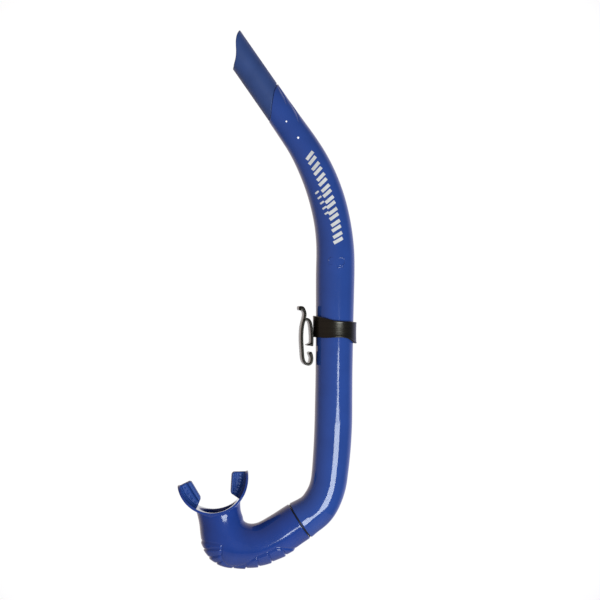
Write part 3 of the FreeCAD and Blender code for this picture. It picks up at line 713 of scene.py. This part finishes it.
# ------------------------------------------------------------------ marks on the barrel
def nearest_s(x, z):
    s = np.linspace(S_JOINT, S_TIP + 12, 4000)
    cx, cz, tx, tz = line(s)
    i = int(np.argmin((cx - x) ** 2 + (cz - z) ** 2))
    d = (x - cx[i]) * tz[i] - (z - cz[i]) * tx[i]
    r = float(radius_out(s[i]))
    return float(s[i]), r * math.asin(max(-1, min(1, d / r)))


def skin(s, w, h):
    """Point on the barrel's front at arc length s, w millimetres round to the right, h above the skin."""
    r = radius_out(s)
    th = -math.pi / 2 + np.asarray(w, float) / r
    return on_barrel(np.asarray(s, float), th, r + h)


def stroke(path, half, height, sink=0.25, n=None, closed=False, soft=False):
    """A flat-topped or half-round line laid on the barrel's skin along path, points (s, w)."""
    P = np.array(path, float)
    if closed:
        T = np.roll(P, -1, 0) - np.roll(P, 1, 0)
    else:
        T = np.gradient(P, axis=0)
    T /= np.linalg.norm(T, axis=1)[:, None]
    N = np.c_[-T[:, 1], T[:, 0]]
    half = np.broadcast_to(half, (len(P),))
    if soft:
        prof = [(math.cos(rad(a)), math.sin(rad(a)) * height) for a in np.linspace(0, 180, 9)]
    else:
        prof = [(1.0, height * 0.3), (0.97, height)] + [(k, height) for k in (0.5, 0.0, -0.5)] + [(-0.97, height), (-1.0, height * 0.3)]
    prof = [(1.0, -sink)] + prof + [(-1.0, -sink)]
    rows = []
    for k, h in prof:
        q = P + N * (half * k)[:, None]
        rows.append(skin(q[:, 0], q[:, 1], h))
    rows = np.transpose(np.array(rows), (1, 0, 2))
    R, C, _ = rows.shape
    F = grid_faces(R, C, closed, True)
    if not closed:
        F.append(tuple(range(C - 1, -1, -1)))
        F.append(tuple((R - 1) * C + i for i in range(C)))
    return to_frame(rows.reshape(-1, 3)), F


def rounded_path(s0, s1, w0, w1, r, k=8):
    c = [(s1 - r, w1 - r, 0), (s0 + r, w1 - r, 90), (s0 + r, w0 + r, 180), (s1 - r, w0 + r, 270)]
    return [(a + r * math.cos(rad(t)), b + r * math.sin(rad(t))) for a, b, t0 in c for t in np.linspace(t0, t0 + 90, k)]


# printed decoration: eight pairs of slanted bars and a row of short dashes
s_hi, w_hi = nearest_s(-21.6, 137.0)
s_lo, w_lo = nearest_s(1.9, 69.2)
prints = []


for i in range(8):
    k = i / 7
    sc, wc = s_hi - 3.3 + (s_lo + 3.3 - s_hi + 3.3) * k, w_hi + (w_lo - w_hi) * k
    for d in (-2.1, 2.1):
        seg = [(sc + d + 0.45 * t, wc + t) for t in np.linspace(-3.7, 3.7, 16)]
        prints.append(stroke(seg, 1.3, 0.05))
s_d0, w_d0 = nearest_s(-15.2, 107.5)
s_d1, w_d1 = nearest_s(-7.4, 91.5)
for i in range(5):
    k = i / 4
    sc, wc = s_d0 + (s_d1 - s_d0) * k, w_d0 + (w_d1 - w_d0) * k
    seg = [(sc + 0.35 * t, wc + t) for t in np.linspace(-1.7, 1.7, 8)]
    prints.append(stroke(seg, 0.75, 0.05))
print_obj = join_meshes("barrel_print", prints, sharp=30)

# moulded marks in the barrel's own plastic
s_e, w_e = nearest_s(0.9, 54.1)
marks = [stroke(rounded_path(s_e - 3.0, s_e + 3.0, w_e - 6.4, w_e + 6.4, 2.6), 0.5, 0.42, closed=True, soft=True)]
s_b, w_b = nearest_s(3.7, 49.6)
marks.append(stroke([(s_b, w_b - 2.6 + 5.2 * t) for t in np.linspace(0, 1, 20)], 0.5, 0.42, soft=True))
mark_obj = join_meshes("barrel_marks", marks)


def pip(s, w, r, h):
    n, m = 8, 24
    V, F = [], []
    for i in range(n):
        a = rad(90) * i / (n - 1)
        for j in range(m):
            t = 2 * math.pi * j / m
            V.append(skin(s + r * math.cos(a) * math.cos(t), w + r * math.cos(a) * math.sin(t), -0.25 + (h + 0.25) * math.sin(a) if i else -0.25))
    V = np.array(V)
    F = grid_faces(n, m, False, True)
    F.append(tuple(range(m - 1, -1, -1)))
    F.append(tuple((n - 1) * m + i for i in range(m)))
    return to_frame(V), F


# raised pips on the barrel; their near-white, glowing material is a painted highlight standing in for lamp glints on
# small blue pips
pips = []
for x, z, r in ((-39.48, 162.2, 0.75), (-30.2, 149.7, 0.9)):
    s, w = nearest_s(x, z)
    pips.append(pip(s, w, r, 0.5))
pip_obj = join_meshes("barrel_pips", pips)


# ------------------------------------------------------------------ materials
def material(name, color, rough, coat=0.0, coat_rough=0.05, noise=0.06, scale=60.0, bump=0.0, bump_scale=900.0, spec=0.5, sss=0.0, stretch=(1, 1, 1), ior=1.5, tint=None, painted_glow=0.0):
    m = bpy.data.materials.new(name)
    m.use_nodes = True
    nt = m.node_tree
    for n in list(nt.nodes):
        nt.nodes.remove(n)
    out = nt.nodes.new("ShaderNodeOutputMaterial")
    b = nt.nodes.new("ShaderNodeBsdfPrincipled")
    nt.links.new(b.outputs["BSDF"], out.inputs["Surface"])
    b.inputs["IOR"].default_value = ior
    b.inputs["Specular IOR Level"].default_value = spec
    b.inputs["Coat Weight"].default_value = coat
    b.inputs["Coat Roughness"].default_value = coat_rough
    if tint:
        b.inputs["Specular Tint"].default_value = (*tint, 1)
    # painted glow: emission that makes a part shine though it is no lamp
    if painted_glow:
        b.inputs["Emission Color"].default_value = (1, 1, 1, 1)
        b.inputs["Emission Strength"].default_value = painted_glow
    if sss:
        b.inputs["Subsurface Weight"].default_value = sss
        b.inputs["Subsurface Radius"].default_value = (0.002, 0.002, 0.004)
    tc = nt.nodes.new("ShaderNodeTexCoord")
    mp = nt.nodes.new("ShaderNodeMapping")
    mp.inputs["Scale"].default_value = stretch
    nt.links.new(tc.outputs["Object"], mp.inputs["Vector"])
    n1 = nt.nodes.new("ShaderNodeTexNoise")
    n1.inputs["Scale"].default_value = scale
    n1.inputs["Detail"].default_value = 5
    nt.links.new(mp.outputs["Vector"], n1.inputs["Vector"])
    ramp = nt.nodes.new("ShaderNodeValToRGB")
    c = np.array(color)
    lo, hi = c * (1 - noise * 2.2), np.minimum(c * (1 + noise * 2.2), 1)
    ramp.color_ramp.elements[0].position = 0.3
    ramp.color_ramp.elements[0].color = (*lo, 1)
    ramp.color_ramp.elements[1].position = 0.7
    ramp.color_ramp.elements[1].color = (*hi, 1)
    nt.links.new(n1.outputs["Fac"], ramp.inputs["Fac"])
    nt.links.new(ramp.outputs["Color"], b.inputs["Base Color"])
    n2 = nt.nodes.new("ShaderNodeTexNoise")
    n2.inputs["Scale"].default_value = scale * 3
    n2.inputs["Detail"].default_value = 6
    nt.links.new(mp.outputs["Vector"], n2.inputs["Vector"])
    rr = nt.nodes.new("ShaderNodeMapRange")
    rr.inputs["To Min"].default_value = rough * 0.75
    rr.inputs["To Max"].default_value = rough * 1.3
    nt.links.new(n2.outputs["Fac"], rr.inputs["Value"])
    nt.links.new(rr.outputs["Result"], b.inputs["Roughness"])
    if bump:
        n3 = nt.nodes.new("ShaderNodeTexNoise")
        n3.inputs["Scale"].default_value = bump_scale
        n3.inputs["Detail"].default_value = 3
        nt.links.new(mp.outputs["Vector"], n3.inputs["Vector"])
        bp = nt.nodes.new("ShaderNodeBump")
        bp.inputs["Strength"].default_value = 1.0
        bp.inputs["Distance"].default_value = bump
        nt.links.new(n3.outputs["Fac"], bp.inputs["Height"])
        nt.links.new(bp.outputs["Normal"], b.inputs["Normal"])
    return m


def dress(o, m):
    o.data.materials.clear()
    o.data.materials.append(m)
    for p in o.data.polygons:
        p.material_index = 0


M_BARREL = material("barrel_gloss_blue", (0.027, 0.074, 0.322), 0.08, coat=0.35, coat_rough=0.03, noise=0.035, scale=45, bump=0.00002, bump_scale=140, sss=0.0)
M_TIP = material("tip_satin_blue", (0.037, 0.076, 0.235), 0.42, noise=0.05, scale=60, bump=0.00003, bump_scale=1400)
M_MOUTH = material("mouth_silicone_blue", (0.016, 0.052, 0.275), 0.12, coat=0.4, coat_rough=0.05, noise=0.05, scale=50, bump=0.00002, bump_scale=160)
M_TAB = material("tab_silicone_blue", (0.026, 0.080, 0.33), 0.34, noise=0.05, scale=80, bump=0.00001, bump_scale=400)
M_BAND = material("band_black", (0.009, 0.007, 0.004), 0.26, spec=0.62, tint=(1.0, 0.93, 0.80), noise=0.2, scale=30, bump=0.00004, bump_scale=60, stretch=(1, 1, 18))
M_CLIP = material("clip_black", (0.007, 0.006, 0.004), 0.2, spec=0.35, tint=(1.0, 0.93, 0.82), noise=0.15, scale=60, bump=0.00002, bump_scale=300)
M_PRINT = material("print_offwhite", (0.74, 0.74, 0.72), 0.4, noise=0.05, scale=250, bump=0.00001, bump_scale=2000)
# painted highlight: near-white colour and a faint emission on the pips stand in for the glints of the lamps on them
M_PIP_PAINTED_GLINT = material("pip_white_painted_glint", (0.93, 0.95, 0.97), 0.25, painted_glow=0.35, noise=0.02, scale=100)
M_COUP = material("coupling_black", (0.012, 0.013, 0.018), 0.45, noise=0.12, scale=80, bump=0.00002, bump_scale=800)
M_LINER = material("liner_rubber", (0.012, 0.012, 0.012), 0.6, noise=0.15, scale=90, bump=0.00003, bump_scale=1200)
M_STUD = material("stud_black", (0.014, 0.012, 0.010), 0.3, noise=0.15, scale=200, bump=0.00001, bump_scale=900)

for o, m in ((barrel, M_BARREL), (tip, M_TIP), (mouth, M_MOUTH), (tab_l, M_TAB), (tab_r, M_TAB), (band, M_BAND), (clip, M_CLIP), (print_obj, M_PRINT), (mark_obj, M_BARREL), (pip_obj, M_PIP_PAINTED_GLINT)):
    dress(o, m)
for n, m in (("coupling_sleeve", M_COUP), ("keeper_liner", M_LINER), ("swivel_stud", M_STUD)):
    dress(frame["nodes"][n], m)

# ------------------------------------------------------------------ riding
for o in (barrel, tip, print_obj, mark_obj, pip_obj):
    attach(o, "tube")
for o in (mouth, tab_l, tab_r):
    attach(o, "mouth")
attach(band, "band")
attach(clip, "clip")
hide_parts("barrel_tube")
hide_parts("top_tip")
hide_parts("mouthpiece")
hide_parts("keeper_band")
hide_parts("strap_clip")


# ------------------------------------------------------------------ stage, light, camera
WARM, COOL = (0.84, 0.71, 0.60), (0.56, 0.58, 0.86)
FRONT_L, FRONT_R = (0.22, 0.18, 0.18), (0.06, 0.08, 0.12)
KEY_SIZE, KEY_AT, KEY_L = (0.80, 0.56), (25, -16.6), 8.8
FILL_L = 2.4


def plane(name, size, loc, rot=(0, 0, 0)):
    x, y = size[0] / 2, size[1] / 2
    me = bpy.data.meshes.new(name)
    me.from_pydata([(-x, -y, 0), (x, -y, 0), (x, y, 0), (-x, y, 0)], [], [(0, 1, 2, 3)])
    o = bpy.data.objects.new(name, me)
    o.location = loc
    o.rotation_euler = rot
    bpy.context.scene.collection.objects.link(o)
    return o


floor = plane("floor", (4, 4), (0, 0, -1.7))
mf = bpy.data.materials.new("floor_pale")
mf.use_nodes = True
nf = mf.node_tree
bf = nf.nodes["Principled BSDF"]
bf.inputs["Roughness"].default_value = 0.9
bf.inputs["Specular IOR Level"].default_value = 0.1
fn = nf.nodes.new("ShaderNodeTexNoise")
fn.inputs["Scale"].default_value = 3
fr = nf.nodes.new("ShaderNodeValToRGB")
fr.color_ramp.elements[0].color = (0.80, 0.80, 0.80, 1)
fr.color_ramp.elements[1].color = (0.84, 0.84, 0.84, 1)
nf.links.new(fn.outputs["Fac"], fr.inputs["Fac"])
nf.links.new(fr.outputs["Color"], bf.inputs["Base Color"])
floor.data.materials.append(mf)

# white all round behind, falling off to a dark studio in front; warm on the left, cool on the right
world = bpy.data.worlds.new("studio")
bpy.context.scene.world = world
world.use_nodes = True
nt = world.node_tree
bg = nt.nodes["Background"]
tcw = nt.nodes.new("ShaderNodeTexCoord")
sep = nt.nodes.new("ShaderNodeSeparateXYZ")
nt.links.new(tcw.outputs["Generated"], sep.inputs["Vector"])


def mrange(src, a, b, c, d, smooth=True):
    n = nt.nodes.new("ShaderNodeMapRange")
    n.interpolation_type = "SMOOTHSTEP" if smooth else "LINEAR"
    for k, v in (("From Min", a), ("From Max", b), ("To Min", c), ("To Max", d)):
        n.inputs[k].default_value = v
    nt.links.new(src, n.inputs["Value"])
    return n.outputs["Result"]


def mix(fac, A, B):
    n = nt.nodes.new("ShaderNodeMix")
    n.data_type = "RGBA"
    nt.links.new(fac, n.inputs["Factor"])
    for k, v in (("A", A), ("B", B)):
        sock = [i for i in n.inputs if i.name == k and i.type == "RGBA"][0]
        if isinstance(v, tuple):
            sock.default_value = (*v, 1)
        else:
            nt.links.new(v, sock)
    return [o for o in n.outputs if o.type == "RGBA"][0]


tilt = nt.nodes.new("ShaderNodeMath")
tilt.operation = "MULTIPLY_ADD"
nt.links.new(sep.outputs["Z"], tilt.inputs[0])
tilt.inputs[1].default_value = -0.7
nt.links.new(sep.outputs["X"], tilt.inputs[2])
side = mrange(tilt.outputs["Value"], -0.8, 0.8, 0.0, 1.0)
tint = mix(side, WARM, COOL)
back_w = mrange(sep.outputs["Y"], 0.05, 0.75, 0.0, 1.0)
front = mix(back_w, mix(side, FRONT_L, FRONT_R), tint)
pure = mrange(sep.outputs["Y"], 0.965, 0.98, 0.0, 1.0)
sky = mix(pure, front, (1.0, 1.0, 1.0))
low = mrange(sep.outputs["Z"], -0.75, -0.22, 0.10, 1.0)
vm = nt.nodes.new("ShaderNodeVectorMath")
vm.operation = "SCALE"
nt.links.new(sky, vm.inputs[0])
nt.links.new(low, vm.inputs["Scale"])
nt.links.new(vm.outputs["Vector"], bg.inputs["Color"])
bg.inputs["Strength"].default_value = 1.02


def area(name, size, loc, target, radiance, color=(1, 1, 1), mirrored=True):
    l = bpy.data.lights.new(name, "AREA")
    l.shape = "RECTANGLE"
    l.size, l.size_y = size
    l.energy = radiance * math.pi * size[0] * size[1]
    l.color = color
    o = bpy.data.objects.new(name, l)
    o.location = loc
    d = Vector(target) - Vector(loc)
    o.rotation_euler = d.to_track_quat("-Z", "Y").to_euler()
    o.visible_glossy = mirrored
    bpy.context.scene.collection.objects.link(o)
    return o


def polar(az, el, r):
    a, e = rad(az), rad(el)
    return (r * math.cos(e) * math.sin(a), -r * math.cos(e) * math.cos(a), r * math.sin(e))


# softbox low on the right: its mirror image is the long highlight
area("softbox_low_right", KEY_SIZE, polar(*KEY_AT, 1.5), (0, 0, 0), KEY_L, (0.90, 0.98, 1.0))
# two thin strips beside the softbox, mirrored like it, and a fill that only lights the body colour
area("strip_right", (0.44, 0.045), polar(25.5, -5.0, 1.5), (0, 0, 0), KEY_L, (0.90, 0.98, 1.0))
area("strip_right_top", (0.2, 0.045), polar(26, -3.4, 1.5), (0, 0, 0), KEY_L, (0.90, 0.98, 1.0))
area("fill_front", (1.2, 1.2), polar(12, -14, 1.8), (0, 0, 0), FILL_L, mirrored=False)

cam = bpy.data.cameras.new("camera")
cam.sensor_width = 36.0
cam.lens = 36.0 * 1500.0 / 468.0
cam.clip_start = 0.05
cam.clip_end = 50
co = bpy.data.objects.new("camera", cam)
bpy.context.scene.collection.objects.link(co)
t = rad(0.715)
right = Vector((math.cos(t), 0, math.sin(t)))
up = Vector((-math.sin(t), 0, math.cos(t)))
back = Vector((0, -1, 0))
loc = Vector(((OX - 27.22) * MM, OY * MM - 1.5, 24.12 * MM))
co.matrix_world = Matrix(((right.x, up.x, back.x, loc.x), (right.y, up.y, back.y, loc.y), (right.z, up.z, back.z, loc.z), (0, 0, 0, 1)))
bpy.context.scene.camera = co

vs = bpy.context.scene.view_settings
vs.view_transform = "Standard"
vs.look = "None"
vs.exposure = 0.0
vs.gamma = 1.0
